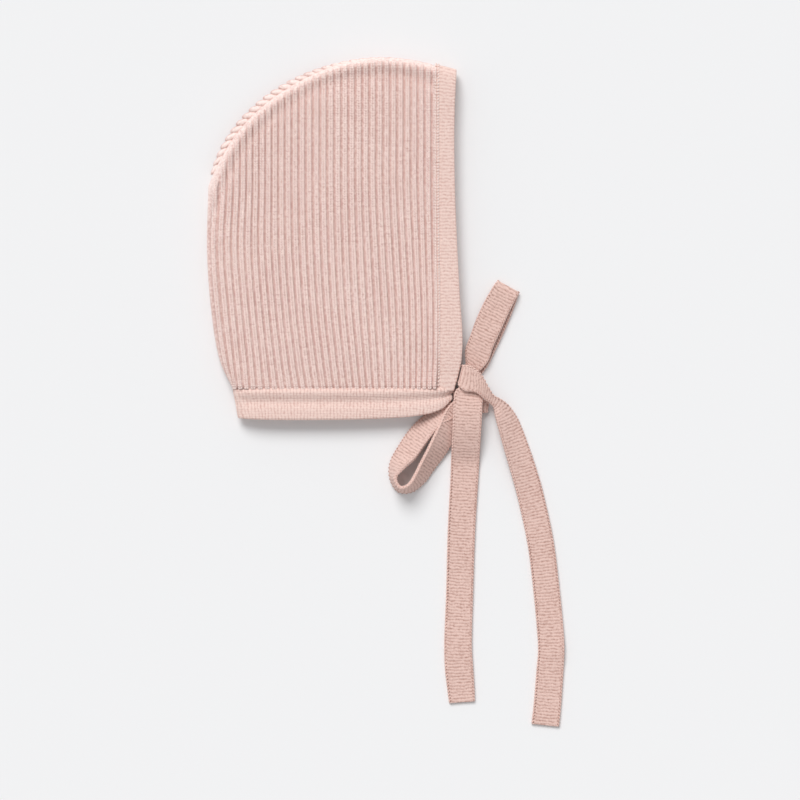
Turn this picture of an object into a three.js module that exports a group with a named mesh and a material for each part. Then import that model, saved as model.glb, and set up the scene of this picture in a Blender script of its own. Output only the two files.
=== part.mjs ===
// A baby's rib-knit bonnet, folded flat on its side with its two ties in a bow.
// Millimetres. X runs from the back of the head to the face, Y from the neck up
// to the crown, Z up from the surface it lies on, which is Z = 0.
import * as THREE from 'three';

// ---- driving dimensions ---------------------------------------------------
const ribWall = 2.0;          // the rib knit, over its ribs
const bandThick = 2.2;        // a band is knitted double and folded
const tieThick = 1.5;         // a tie is one knitted tape
const seamHeight = 5.0;       // height of the crown seam and of the back fold
const layerRise = 5.0;        // from the seam up to the upper layer's outer face
const dome = 1.2;             // how far the upper layer swells in its middle
const foldRadius = 6.0;       // how far in from its edges the upper layer turns down
const underRadius = 5.0;      // the same for the lower layer
const neckLine = 1.3;         // height in Y where rib ends and neck band begins
const gap = 0.3;              // between neighbouring pieces
const wales = 33.1;           // ribs from the back fold to the face band

// The crown is one superellipse, from the forehead over the top to the nape.
const crown = { x: -2, y: 95, across: 87.5, up: 72.2, power: 1.9 };

// Where certain ribs run, by height: the back fold, four ribs and the face band.
const ribGuide = {
  rib: [0, 2.4, 11.4, 19.4, 27.4, wales],
  rows: [
    { y: 1, x: [-76.2, -73.9, -42.8, -16.0, 9.2, 25.0] },
    { y: 16, x: [-83.0, -75.6, -45.0, -17.5, 9.2, 25.6] },
    { y: 41, x: [-87.2, -78.2, -47.8, -19.9, 8.6, 25.8] },
    { y: 71, x: [-89.3, -80.4, -49.8, -21.4, 7.0, 25.4] },
    { y: 101, x: [-88.6, -79.2, -50.2, -22.1, 5.6, 25.2] },
    { y: 131, x: [-88.0, -79.0, -50.2, -22.1, 5.6, 25.2] },
  ],
};

// Soft dents and swells of the upper layer, as round bumps: height and size.
const dents = [
  { x: -20, y: 154, rise: -1.1, rx: 34, ry: 7 },
  { x: -62, y: 60, rise: 0.6, rx: 16, ry: 30 },
  { x: 8, y: 70, rise: -0.7, rx: 14, ry: 34 },
  { x: -28, y: 22, rise: 0.5, rx: 26, ry: 12 },
  { x: 14, y: 14, rise: -0.9, rx: 12, ry: 10 },
];

// The face band, from its lower end on the upper layer, over the top of the
// head and down the lower layer. back and front are its two long edges.
const faceBandRows = [
  { y: 2.2, back: 25.6, front: 34.0, z: 6.2 },
  { y: 9, back: 25.8, front: 36.3, z: 7.0 },
  { y: 16, back: 26.0, front: 37.7, z: 7.8 },
  { y: 28, back: 26.0, front: 38.2, z: 8.5 },
  { y: 45, back: 26.1, front: 37.1, z: 8.9 },
  { y: 75, back: 25.7, front: 35.5, z: 8.9 },
  { y: 105, back: 25.5, front: 34.4, z: 8.9 },
  { y: 135, back: 25.5, front: 34.2, z: 8.9 },
  { y: 152, back: 25.5, front: 34.9, z: 8.7 },
  { y: 158.5, back: 25.5, front: 35.3, z: 7.6 },
  { y: 161.2, back: 25.5, front: 35.4, z: 5.0 },
  { y: 158.5, back: 25.5, front: 35.3, z: 2.5 },
  { y: 153, back: 25.5, front: 34.9, z: 1.4 },
  { y: 145, back: 25.5, front: 34.6, z: 1.1 },
  { y: 105, back: 25.5, front: 34.2, z: 1.1 },
  { y: 45, back: 26.1, front: 36.9, z: 1.1 },
  { y: 16, back: 26.0, front: 37.3, z: 1.1 },
  { y: 2.2, back: 25.6, front: 33.8, z: 1.1 },
];
const crownSlant = 0.24;      // how the band's top falls towards the face

// The neck band, from its end at the ties on the upper layer, round the back
// fold and along the lower layer. top and foot are its two long edges in Y.
const neckBandRows = [
  { x: 32.8, top: 0.2, foot: -3.6, z: 3.7 },
  { x: 28, top: 0.6, foot: -8.4, z: 6.0 },
  { x: 21, top: 0.7, foot: -11.0, z: 7.3 },
  { x: 10, top: 0.7, foot: -12.6, z: 8.0 },
  { x: -12, top: 0.7, foot: -13.7, z: 8.3 },
  { x: -40, top: 0.7, foot: -14.1, z: 8.3 },
  { x: -62, top: 0.7, foot: -14.0, z: 8.0 },
  { x: -71.5, top: 0.7, foot: -13.6, z: 6.9 },
  { x: -74.1, top: 0.7, foot: -13.3, z: 4.7 },
  { x: -71.5, top: 0.7, foot: -13.6, z: 2.5 },
  { x: -66, top: 0.7, foot: -13.8, z: 1.4 },
  { x: -58, top: 0.7, foot: -14.0, z: 1.1 },
  { x: -20, top: 0.7, foot: -13.7, z: 1.1 },
  { x: 10, top: 0.7, foot: -12.0, z: 1.1 },
  { x: 21, top: 0.5, foot: -9.2, z: 1.1 },
  { x: 27, top: -0.4, foot: -7.2, z: 1.1 },
  { x: 32.8, top: -2.2, foot: -6.8, z: 1.1 },
];
const neckSlant = 0.18;       // how the band's back end leans with the outline

// A tie is a tape. Each row of its route gives the middle of the tape, its
// width there, and where its width points: turn in plan and tilt out of it.
// The near tie: neck band, the upper loop, over the knot, the right-hand tail.
const nearTieRows = [
  { x: 33.4, y: -1.2, z: 3.3, width: 3.8, turn: 100, tilt: 0 },
  { x: 36.6, y: -0.1, z: 2.4, width: 4.8, turn: 115, tilt: 0 },
  { x: 40.0, y: 2.8, z: 1.5, width: 6.0, turn: 130, tilt: 0 },
  { x: 43.0, y: 8.0, z: 0.9, width: 6.5, turn: 148, tilt: 0 },
  { x: 45.6, y: 15.0, z: 0.85, width: 11.0, turn: 154, tilt: 0 },
  { x: 48.9, y: 23.6, z: 0.85, width: 13.0, turn: 155, tilt: 0 },
  { x: 52.9, y: 33.2, z: 0.85, width: 13.8, turn: 155, tilt: 0 },
  { x: 56.7, y: 42.2, z: 0.85, width: 13.8, turn: 154, tilt: 0 },
  { x: 59.9, y: 50.0, z: 0.95, width: 13.2, turn: 152, tilt: 0 },
  { x: 60.9, y: 52.2, z: 2.0, width: 12.8, turn: 151, tilt: 0 },
  { x: 59.5, y: 50.2, z: 3.05, width: 13.0, turn: 152, tilt: 0 },
  { x: 55.4, y: 42.6, z: 3.1, width: 13.6, turn: 154, tilt: 0 },
  { x: 51.2, y: 33.6, z: 3.5, width: 13.6, turn: 155, tilt: 0 },
  { x: 47.5, y: 24.6, z: 3.7, width: 12.8, turn: 155, tilt: 0 },
  { x: 45.2, y: 18.2, z: 3.4, width: 13.0, turn: 153, tilt: 0 },
  { x: 43.4, y: 13.6, z: 3.1, width: 9.4, turn: 142, tilt: 0 },
  { x: 40.4, y: 10.8, z: 2.9, width: 6.4, turn: 100, tilt: 0 },
  { x: 38.5, y: 10.0, z: 4.2, width: 7.0, turn: 80, tilt: 0 },
  { x: 37.6, y: 8.9, z: 6.4, width: 9.4, turn: 77, tilt: 0 },
  { x: 38.0, y: 8.0, z: 8.7, width: 11.4, turn: 77, tilt: 0 },
  { x: 40.4, y: 6.8, z: 9.5, width: 12.9, turn: 80, tilt: 0 },
  { x: 43.8, y: 6.1, z: 9.5, width: 12.4, turn: 92, tilt: 0 },
  { x: 47.4, y: 3.3, z: 9.2, width: 11.0, turn: 90, tilt: 0 },
  { x: 50.3, y: -0.9, z: 8.2, width: 7.0, turn: 80, tilt: 0 },
  { x: 52.8, y: -3.7, z: 6.8, width: 5.0, turn: 72, tilt: 0 },
  { x: 55.5, y: -5.9, z: 5.7, width: 6.2, turn: 55, tilt: -10 },
  { x: 58.2, y: -9.8, z: 5.0, width: 10.0, turn: 34, tilt: -28 },
  { x: 60.8, y: -15.4, z: 4.3, width: 12.6, turn: 24, tilt: -32 },
  { x: 64.8, y: -27.0, z: 3.4, width: 13.2, turn: 18, tilt: -24 },
  { x: 68.6, y: -39.0, z: 2.3, width: 13.2, turn: 16, tilt: -14 },
  { x: 72.0, y: -51.0, z: 1.4, width: 13.2, turn: 15, tilt: -6 },
  { x: 77.2, y: -75.0, z: 0.85, width: 13.2, turn: 9, tilt: 0 },
  { x: 80.2, y: -99.0, z: 0.85, width: 13.2, turn: 6, tilt: 0 },
  { x: 82.1, y: -119.0, z: 1.1, width: 13.3, turn: 3, tilt: 2 },
  { x: 82.6, y: -129.0, z: 1.5, width: 13.3, turn: 0, tilt: 6 },
  { x: 81.9, y: -140.0, z: 0.95, width: 13.6, turn: -2, tilt: 0 },
  { x: 80.6, y: -157.0, z: 0.85, width: 13.8, turn: -5, tilt: 0 },
  { x: 79.6, y: -166.5, z: 0.85, width: 14.0, turn: -6, tilt: 0 },
];

// The far tie: neck band, the lower loop standing on its edge like a tent, up
// under the knot, back over itself and down as the middle tail.
const farTieRows = [
  { x: 33.4, y: -4.6, z: 1.0, width: 4.6, turn: 90, tilt: 0 },
  { x: 38.0, y: -5.6, z: 0.9, width: 5.6, turn: 88, tilt: 0 },
  { x: 44.0, y: -7.0, z: 0.9, width: 6.6, turn: 86, tilt: 0 },
  { x: 49.0, y: -7.2, z: 0.95, width: 6.6, turn: 84, tilt: 0 },
  { x: 50.6, y: -7.2, z: 2.1, width: 6.4, turn: 82, tilt: 0 },
  { x: 48.8, y: -7.4, z: 3.2, width: 6.4, turn: 80, tilt: 0 },
  { x: 43.0, y: -8.0, z: 2.8, width: 6.6, turn: 84, tilt: 0 },
  { x: 36.6, y: -8.6, z: 3.1, width: 7.2, turn: 104, tilt: -4 },
  { x: 30.4, y: -10.2, z: 4.4, width: 9.2, turn: 124, tilt: -16 },
  { x: 24.0, y: -13.6, z: 4.4, width: 11.6, turn: 138, tilt: -38 },
  { x: 16.3, y: -21.8, z: 5.0, width: 13.2, turn: 145, tilt: -36 },
  { x: 10.4, y: -30.2, z: 5.7, width: 13.6, turn: 148, tilt: -41 },
  { x: 5.6, y: -36.7, z: 6.4, width: 13.4, turn: 160, tilt: -58 },
  { x: 3.6, y: -42.8, z: 7.1, width: 12.6, turn: 186, tilt: -79 },
  { x: 6.7, y: -48.3, z: 7.1, width: 12.6, turn: 236, tilt: -80 },
  { x: 12.0, y: -47.7, z: 7.0, width: 12.8, turn: 282, tilt: -71 },
  { x: 17.1, y: -42.4, z: 6.7, width: 13.2, turn: 314, tilt: -61 },
  { x: 20.0, y: -37.6, z: 6.5, width: 13.6, turn: 323, tilt: -58 },
  { x: 25.0, y: -29.6, z: 6.3, width: 13.6, turn: 326, tilt: -49 },
  { x: 30.4, y: -19.8, z: 5.5, width: 12.2, turn: 326, tilt: -32 },
  { x: 33.8, y: -11.6, z: 4.9, width: 10.0, turn: 326, tilt: -16 },
  { x: 38.2, y: -4.6, z: 4.85, width: 7.4, turn: 332, tilt: -4 },
  { x: 41.2, y: 1.8, z: 4.8, width: 6.4, turn: 342, tilt: 0 },
  { x: 42.7, y: 6.4, z: 4.8, width: 6.4, turn: 350, tilt: 0 },
  { x: 43.1, y: 8.3, z: 5.8, width: 6.6, turn: 352, tilt: 0 },
  { x: 42.8, y: 6.6, z: 6.8, width: 7.4, turn: 352, tilt: 0 },
  { x: 42.3, y: 3.0, z: 7.0, width: 9.6, turn: 352, tilt: -2 },
  { x: 41.4, y: -0.6, z: 7.2, width: 14.0, turn: 353, tilt: -3 },
  { x: 40.9, y: -5.6, z: 7.9, width: 14.5, turn: 356, tilt: 0 },
  { x: 40.6, y: -12.0, z: 8.1, width: 14.5, turn: 358, tilt: 0 },
  { x: 40.3, y: -19.0, z: 7.2, width: 14.4, turn: 358, tilt: 0 },
  { x: 39.9, y: -27.0, z: 4.6, width: 14.3, turn: 358, tilt: 0 },
  { x: 39.6, y: -35.0, z: 1.5, width: 14.2, turn: 357, tilt: 0 },
  { x: 39.1, y: -45.0, z: 0.85, width: 14.0, turn: 357, tilt: 0 },
  { x: 37.7, y: -70.0, z: 0.85, width: 13.8, turn: 357, tilt: 0 },
  { x: 36.8, y: -101.0, z: 0.85, width: 13.6, turn: 357, tilt: 0 },
  { x: 36.0, y: -126.0, z: 1.2, width: 13.9, turn: 358, tilt: 0 },
  { x: 36.5, y: -138.0, z: 1.0, width: 14.2, turn: 362, tilt: 0 },
  { x: 37.5, y: -149.0, z: 0.85, width: 13.6, turn: 364, tilt: 0 },
  { x: 38.0, y: -155.0, z: 0.85, width: 13.0, turn: 364, tilt: 0 },
];

// ---- shared mesh tools ------------------------------------------------------

// A value read from a table whose keys ascend, on a smooth curve through it.
function readCurve(keys, values, at) {
  const last = keys.length - 1;
  const x = Math.min(Math.max(at, keys[0]), keys[last]);
  let i = 0;
  while (i < last - 1 && x > keys[i + 1]) i += 1;
  const slope = (k) => {
    const a = Math.max(k - 1, 0);
    const b = Math.min(k + 1, last);
    return (values[b] - values[a]) / (keys[b] - keys[a]);
  };
  const span = keys[i + 1] - keys[i];
  const t = (x - keys[i]) / span;
  const t2 = t * t;
  const t3 = t2 * t;
  return (2 * t3 - 3 * t2 + 1) * values[i] + (t3 - 2 * t2 + t) * span * slope(i)
    + (3 * t2 - 2 * t3) * values[i + 1] + (t3 - t2) * span * slope(i + 1);
}

// Every column of a table of rows, read at a distance along the rows' route.
function routeReader(rows) {
  const along = [0];
  rows.slice(1).forEach((row, i) => {
    const before = rows[i];
    along.push(along[i] + Math.hypot(row.x - before.x, row.y - before.y, row.z - before.z));
  });
  const read = (name, s) => readCurve(along, rows.map((row) => row[name]), s);
  return { length: along[along.length - 1], along, read };
}

function meshFrom(name, positions, triangles, color) {
  const geometry = new THREE.BufferGeometry();
  geometry.setAttribute('position', new THREE.Float32BufferAttribute(positions.flat(), 3));
  geometry.setIndex(triangles.flat());
  geometry.computeVertexNormals();
  const material = new THREE.MeshStandardMaterial({ color, roughness: 0.95, metalness: 0 });
  const mesh = new THREE.Mesh(geometry, material);
  mesh.name = name;
  return mesh;
}

// A closed strip: rings of points, each joined to the next, with flat ends.
function closedStrip(name, rings, color) {
  const size = rings[0].length;
  const positions = rings.flat();
  const triangles = [];
  for (let i = 0; i + 1 < rings.length; i += 1) {
    for (let k = 0; k < size; k += 1) {
      const next = (k + 1) % size;
      const a = i * size + k;
      const b = i * size + next;
      const c = a + size;
      const d = b + size;
      triangles.push([a, b, d], [a, d, c]);
    }
  }
  const lastRing = (rings.length - 1) * size;
  for (let k = 1; k + 1 < size; k += 1) {
    triangles.push([0, k + 1, k], [lastRing, lastRing + k, lastRing + k + 1]);
  }
  return meshFrom(name, positions, triangles, color);
}

// The outline of a soft-edged tape's section, as fractions of its half width
// and half thickness, going round it once.
const tapeSection = [
  [-1, -0.4], [-0.91, -1], [0.91, -1], [1, -0.4], [1, 0.4], [0.91, 1], [-0.91, 1], [-1, 0.4],
];

// A tape swept along a route, at the stations given as distances along it.
function tape(name, stations, placeAt, thickness, color) {
  const rings = stations.map((s) => {
    const { middle, across, forward, width } = placeAt(s);
    const normal = new THREE.Vector3().crossVectors(forward, across).normalize();
    return tapeSection.map(([side, face]) => middle.clone()
      .addScaledVector(across, side * width / 2)
      .addScaledVector(normal, face * thickness / 2)
      .toArray());
  });
  return closedStrip(name, rings, color);
}

// Stations along a route: closer together where its rows are.
function stationsOf(route, longest) {
  const stations = [];
  for (let i = 0; i + 1 < route.along.length; i += 1) {
    const from = route.along[i];
    const to = route.along[i + 1];
    const count = Math.max(3, Math.ceil((to - from) / longest));
    for (let k = 0; k < count; k += 1) stations.push(from + (to - from) * k / count);
  }
  stations.push(route.length);
  return stations;
}

const wool = 0xe6c8be;
const bandWool = 0xe9ccc2;
const tieWool = 0xe4c5ba;

// ---- the rib body -------------------------------------------------------------

const crownHeight = (x) => {
  const part = Math.min(Math.abs(x - crown.x) / crown.across, 1);
  return crown.y + crown.up * (1 - part ** crown.power) ** (1 / crown.power);
};

const ribX = (rib, y) => {
  const heights = ribGuide.rows.map((row) => row.y);
  const across = ribGuide.rib.map((_, i) => readCurve(heights, ribGuide.rows.map((row) => row.x[i]), y));
  return readCurve(ribGuide.rib, across, rib);
};

const ribTop = (rib) => crownHeight(ribX(rib, crown.y + crown.up));

// How far a layer has turned from its edge, 0 at the edge to 1 past the radius.
const roundOver = (distance, radius) => {
  const left = 1 - Math.min(Math.max(distance, 0) / radius, 1);
  return Math.sqrt(1 - left * left);
};

function bodyPoint(rib, up, upper) {
  const top = ribTop(rib);
  const y = neckLine + (top - neckLine) * up;
  const x = ribX(rib, y);
  const step = 0.5;
  const topX = ribX(rib, top);
  const slope = (crownHeight(topX + step) - crownHeight(topX - step)) / (2 * step);
  const fromSeam = (top - y) / Math.hypot(1, slope);
  const fromFold = x - ribX(0, y);
  const radius = upper ? foldRadius : underRadius;
  const turned = roundOver(fromSeam, radius) * roundOver(fromFold, radius);
  if (!upper) return [x, y, seamHeight * (1 - turned)];
  const centred = Math.sin(Math.PI * Math.min(rib / wales, 1)) * Math.sin(Math.PI * Math.min(up, 1));
  let rise = layerRise + dome * centred;
  for (const dent of dents) {
    rise += dent.rise * Math.exp(-(((x - dent.x) / dent.rx) ** 2) - ((y - dent.y) / dent.ry) ** 2);
  }
  return [x, y, seamHeight + rise * turned];
}

const bodyRibs = [0, 0.12, 0.45, 0.95, 1.6, 2.6, 4.2, 6, 8, 10.5, 13, 15.5, 18, 20.5, 23, 25.5, 28, 30.5, wales];
const bodyRises = [0, 0.09, 0.18, 0.27, 0.36, 0.45, 0.54, 0.63, 0.71, 0.78, 0.84, 0.89, 0.93, 0.957, 0.976, 0.989, 0.997, 1];

function ribBody() {
  const lastRib = bodyRibs.length - 1;
  const lastRise = bodyRises.length - 1;
  const outer = [];
  const ids = { upper: [], lower: [] };
  for (const layer of ['upper', 'lower']) {
    bodyRibs.forEach((rib, k) => {
      ids[layer].push(bodyRises.map((up, j) => {
        const shared = layer === 'lower' && (k === 0 || j === lastRise);
        if (shared) return ids.upper[k][j];
        outer.push(bodyPoint(rib, up, layer === 'upper'));
        return outer.length - 1;
      }));
    });
  }
  const skin = [];
  for (let k = 0; k < lastRib; k += 1) {
    for (let j = 0; j < lastRise; j += 1) {
      for (const layer of ['upper', 'lower']) {
        const a = ids[layer][k][j];
        const b = ids[layer][k + 1][j];
        const c = ids[layer][k + 1][j + 1];
        const d = ids[layer][k][j + 1];
        if (layer === 'upper') skin.push([a, b, c], [a, c, d]);
        else skin.push([a, c, b], [a, d, c]);
      }
    }
  }
  const whole = skin.filter(([a, b, c]) => a !== b && b !== c && a !== c);

  // The inner face is the outer one moved in by the wall, along its normals.
  const sheet = new THREE.BufferGeometry();
  sheet.setAttribute('position', new THREE.Float32BufferAttribute(outer.flat(), 3));
  sheet.setIndex(whole.flat());
  sheet.computeVertexNormals();
  const normals = sheet.getAttribute('normal');
  const inner = outer.map(([x, y, z], i) => [
    x - ribWall * normals.getX(i),
    y - ribWall * normals.getY(i),
    z - ribWall * normals.getZ(i),
  ]);
  const offset = outer.length;
  const lining = whole.map(([a, b, c]) => [a + offset, c + offset, b + offset]);

  // The raw edge round the neck and the face joins the two.
  const rim = [];
  for (let k = lastRib; k > 0; k -= 1) rim.push(ids.upper[k][0]);
  for (let k = 0; k < lastRib; k += 1) rim.push(ids.lower[k][0]);
  for (let j = 0; j < lastRise; j += 1) rim.push(ids.lower[lastRib][j]);
  for (let j = lastRise; j > 0; j -= 1) rim.push(ids.upper[lastRib][j]);
  const edge = [];
  rim.forEach((a, i) => {
    const b = rim[(i + 1) % rim.length];
    edge.push([a, b, b + offset], [a, b + offset, a + offset]);
  });
  return meshFrom('rib_body', [...outer, ...inner], [...whole, ...lining, ...edge], wool);
}

// ---- the bands ----------------------------------------------------------------

function faceBand() {
  const rows = faceBandRows.map((row) => ({ ...row, x: row.back }));
  const route = routeReader(rows);
  const step = 0.2;
  const middleAt = (s) => new THREE.Vector3(
    (route.read('back', s) + route.read('front', s)) / 2 + gap / 2,
    route.read('y', s),
    route.read('z', s),
  );
  const placeAt = (s) => {
    const width = route.read('front', s) - route.read('back', s);
    const slant = crownSlant * Math.max(0, (route.read('y', s) - 140) / 21);
    const across = new THREE.Vector3(-1, slant, 0).normalize();
    const forward = middleAt(Math.min(s + step, route.length)).sub(middleAt(Math.max(s - step, 0)));
    forward.addScaledVector(across, -forward.dot(across)).normalize();
    return { middle: middleAt(s), across, forward, width };
  };
  return tape('face_band', stationsOf(route, 7), placeAt, bandThick, bandWool);
}

function neckBand() {
  const rows = neckBandRows.map((row) => ({ ...row, y: row.top }));
  const route = routeReader(rows);
  const step = 0.2;
  const middleAt = (s) => new THREE.Vector3(
    route.read('x', s),
    (route.read('top', s) + route.read('foot', s)) / 2,
    route.read('z', s),
  );
  const placeAt = (s) => {
    const width = route.read('top', s) - route.read('foot', s);
    const lean = neckSlant * Math.max(0, (-40 - route.read('x', s)) / 34);
    const across = new THREE.Vector3(-lean, 1, 0).normalize();
    const forward = middleAt(Math.min(s + step, route.length)).sub(middleAt(Math.max(s - step, 0)));
    forward.addScaledVector(across, -forward.dot(across)).normalize();
    return { middle: middleAt(s), across: across.negate(), forward, width };
  };
  return tape('neck_band', stationsOf(route, 7), placeAt, bandThick, bandWool);
}

// ---- the ties -----------------------------------------------------------------

function tie(name, rows) {
  const route = routeReader(rows);
  const step = 0.1;
  const middleAt = (s) => new THREE.Vector3(route.read('x', s), route.read('y', s), route.read('z', s));
  const placeAt = (s) => {
    const turn = THREE.MathUtils.degToRad(route.read('turn', s));
    const tilt = THREE.MathUtils.degToRad(route.read('tilt', s));
    const across = new THREE.Vector3(
      Math.cos(turn) * Math.cos(tilt), Math.sin(turn) * Math.cos(tilt), Math.sin(tilt));
    const forward = middleAt(Math.min(s + step, route.length)).sub(middleAt(Math.max(s - step, 0)));
    forward.addScaledVector(across, -forward.dot(across)).normalize();
    return { middle: middleAt(s), across, forward, width: route.read('width', s) };
  };
  return tape(name, stationsOf(route, 5), placeAt, tieThick, tieWool);
}

const bonnet = new THREE.Group();
bonnet.add(ribBody(), faceBand(), neckBand());
bonnet.add(tie('near_tie', nearTieRows), tie('far_tie', farTieRows));

export default bonnet;
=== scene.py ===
import bpy
import numpy as np
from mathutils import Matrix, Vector


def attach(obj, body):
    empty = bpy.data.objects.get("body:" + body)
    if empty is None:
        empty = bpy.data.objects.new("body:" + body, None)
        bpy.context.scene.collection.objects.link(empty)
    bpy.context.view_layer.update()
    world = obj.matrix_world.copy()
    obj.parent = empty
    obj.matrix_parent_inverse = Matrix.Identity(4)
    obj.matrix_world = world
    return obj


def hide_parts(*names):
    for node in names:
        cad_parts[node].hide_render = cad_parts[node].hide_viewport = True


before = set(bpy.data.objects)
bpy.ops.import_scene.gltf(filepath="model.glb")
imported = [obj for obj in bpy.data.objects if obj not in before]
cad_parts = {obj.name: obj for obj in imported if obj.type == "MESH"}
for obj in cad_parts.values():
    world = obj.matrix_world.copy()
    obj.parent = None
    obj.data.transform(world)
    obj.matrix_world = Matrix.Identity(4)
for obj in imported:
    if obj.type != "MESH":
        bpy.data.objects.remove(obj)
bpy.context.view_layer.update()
mm = 0.001             # shapes are worked out in millimetres and scaled by this into a mesh


# ---- camera, table top and light ------------------------------------------------
# The folded bonnet lies on a plain pale table top and is seen from straight above,
# from far enough off that its outline is hardly in perspective. One wide soft
# light stands beyond the crown, and a pale room fills the shadows.
view_width = 0.400
camera_height = 1.9
look_at = (0.0070, -0.0040)
camera = bpy.data.objects.new("camera", bpy.data.cameras.new("camera"))
camera.location = (look_at[0], look_at[1], camera_height)
camera.data.sensor_width = 36.0
camera.data.lens = camera.data.sensor_width * camera_height / view_width
camera.data.clip_end = 20.0
bpy.context.collection.objects.link(camera)
bpy.context.scene.camera = camera

table_size = 12.0
table = bpy.data.meshes.new("table_top")
half = table_size / 2
table_corners = [(-half, -half, 0), (half, -half, 0), (half, half, 0), (-half, half, 0)]
table.from_pydata(table_corners, [], [(0, 1, 2, 3)])
table_top = bpy.data.objects.new("table_top", table)
bpy.context.collection.objects.link(table_top)
table_paint = bpy.data.materials.new("table_top")
table_paint.use_nodes = True
table_shader = table_paint.node_tree.nodes["Principled BSDF"]
table_shader.inputs["Base Color"].default_value = (0.90, 0.90, 0.905, 1)
table_shader.inputs["Roughness"].default_value = 0.9
table_shader.inputs["Specular IOR Level"].default_value = 0.1
table.materials.append(table_paint)

light_from = Vector((-0.30, 0.86, 1.05))
light = bpy.data.lights.new("window", "SUN")
light.energy = 2.05
light.angle = 0.55
window = bpy.data.objects.new("window", light)
window.rotation_euler = light_from.to_track_quat("Z", "Y").to_euler()
bpy.context.collection.objects.link(window)
room = bpy.data.worlds.new("room")
room.use_nodes = True
room.node_tree.nodes["Background"].inputs["Color"].default_value = (0.985, 0.99, 1.0, 1)
room.node_tree.nodes["Background"].inputs["Strength"].default_value = 0.50
bpy.context.scene.world = room
bpy.context.scene.view_settings.view_transform = "Standard"


# ---- rib body ---------------------------------------------------------------------
# One piece of fine one-by-one rib in soft cotton, knitted double-bed. It folds
# round the back of the head, and its upper edges are linked along the crown. Each
# rib is a column of plain stitches, with the purl column sunk out of sight between.
rib_wall = 2.0
seam_height = 5.0      # where the two layers meet, above the table
layer_rise = 5.0
dome = 1.2             # how much more the upper layer rises at its middle
fold_radius = 6.0
under_radius = 5.0
neck_line = 1.3
ribs = 33.1            # counted from the back fold to the face band
rib_pitch = 3.45
first_gap = 0.4
rib_depth = 1.0
gap_power = 2.4        # a high power keeps the gaps narrow
plain_rim = 1.0        # the seam's rolled edge has no ribs this near the seam
rib_fade = 2.5         # and full ribs after this much more
above_crown = 200.0    # any height over the guides, where the ribs run straight on
crown_middle = (-2.0, 95.0)
crown_across = 87.5
crown_up = 72.2
crown_power = 1.9
guide_ribs = [0, 2.4, 11.4, 19.4, 27.4, ribs]
guide_heights = [1, 16, 41, 71, 101, 131]
guide_x = [
    [-76.2, -73.9, -42.8, -16.0, 9.2, 25.0],
    [-83.0, -75.6, -45.0, -17.5, 9.2, 25.6],
    [-87.2, -78.2, -47.8, -19.9, 8.6, 25.8],
    [-89.3, -80.4, -49.8, -21.4, 7.0, 25.4],
    [-88.6, -79.2, -50.2, -22.1, 5.6, 25.2],
    [-88.0, -79.0, -50.2, -22.1, 5.6, 25.2],
]
# Dents and swells of the upper layer: middle, rise and reach across and up.
dents = [
    (-20, 154, -1.1, 34, 7),
    (-62, 60, 0.6, 16, 30),
    (8, 70, -0.7, 14, 34),
    (-28, 22, 0.5, 26, 12),
    (14, 14, -0.9, 12, 10),
]


def read(keys, values, at):
    """The table's values at a key, on a smooth curve through its rows."""
    keys = np.asarray(keys, float)
    values = np.asarray(values, float)
    last = len(keys) - 1
    at = np.clip(at, keys[0], keys[last])
    row = np.clip(np.searchsorted(keys, at, side="right") - 1, 0, last - 1)
    before = np.maximum(np.arange(last + 1) - 1, 0)
    after = np.minimum(np.arange(last + 1) + 1, last)
    run = (keys[after] - keys[before]).reshape((-1,) + (1,) * (values.ndim - 1))
    slopes = (values[after] - values[before]) / run
    span = keys[row + 1] - keys[row]
    t = (at - keys[row]) / span

    def pick(table, which):
        if table.ndim == 1:
            return table[which]
        return table[which, np.arange(len(which))]

    return ((2 * t**3 - 3 * t**2 + 1) * pick(values, row)
            + (t**3 - 2 * t**2 + t) * span * pick(slopes, row)
            + (3 * t**2 - 2 * t**3) * pick(values, row + 1)
            + (t**3 - t**2) * span * pick(slopes, row + 1))


def rib_x(rib, y):
    """How far across a rib lies at a height, from the guide ribs on either side."""
    guides = [read(guide_heights, [row[i] for row in guide_x], y) for i in range(len(guide_ribs))]
    return read(guide_ribs, np.stack(guides), rib)


def crown_height(x, inset=0.0):
    """The crown's outline, or a line inside it."""
    part = np.clip(np.abs(x - crown_middle[0]) / (crown_across - inset), 0, 1)
    return crown_middle[1] + (crown_up - inset) * (1 - part**crown_power) ** (1 / crown_power)


def round_over(distance, radius):
    """A quarter round: 0 at the edge, 1 from the radius inward."""
    left = 1 - np.clip(distance / radius, 0, 1)
    return np.sqrt(1 - left * left)


seam_inset = 3.0       # the rolled edge stops short of the crown's outline, at the nape
seam_inset_front = 0.7
roll_middle = -34.0    # the inset grows from the front's to the nape's about here
roll_spread = 9.0
nape_fade = 4.5        # and meets the outline again over this distance from the fold
seam_bead = (0.7, 3.4, 2.0)       # rise, distance from the seam and reach
seam_hollow = (-0.7, 8.5, 3.0)


def rolled_edge(x):
    """How far inside the crown's outline the upper layer's rolled edge lies."""
    back = 1 / (1 + np.exp((x - roll_middle) / roll_spread))
    inset = seam_inset_front + (seam_inset - seam_inset_front) * back
    from_fold_end = np.clip(x - (crown_middle[0] - crown_across), 0, None)
    return inset * (1 - np.exp(-from_fold_end / nape_fade))


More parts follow.
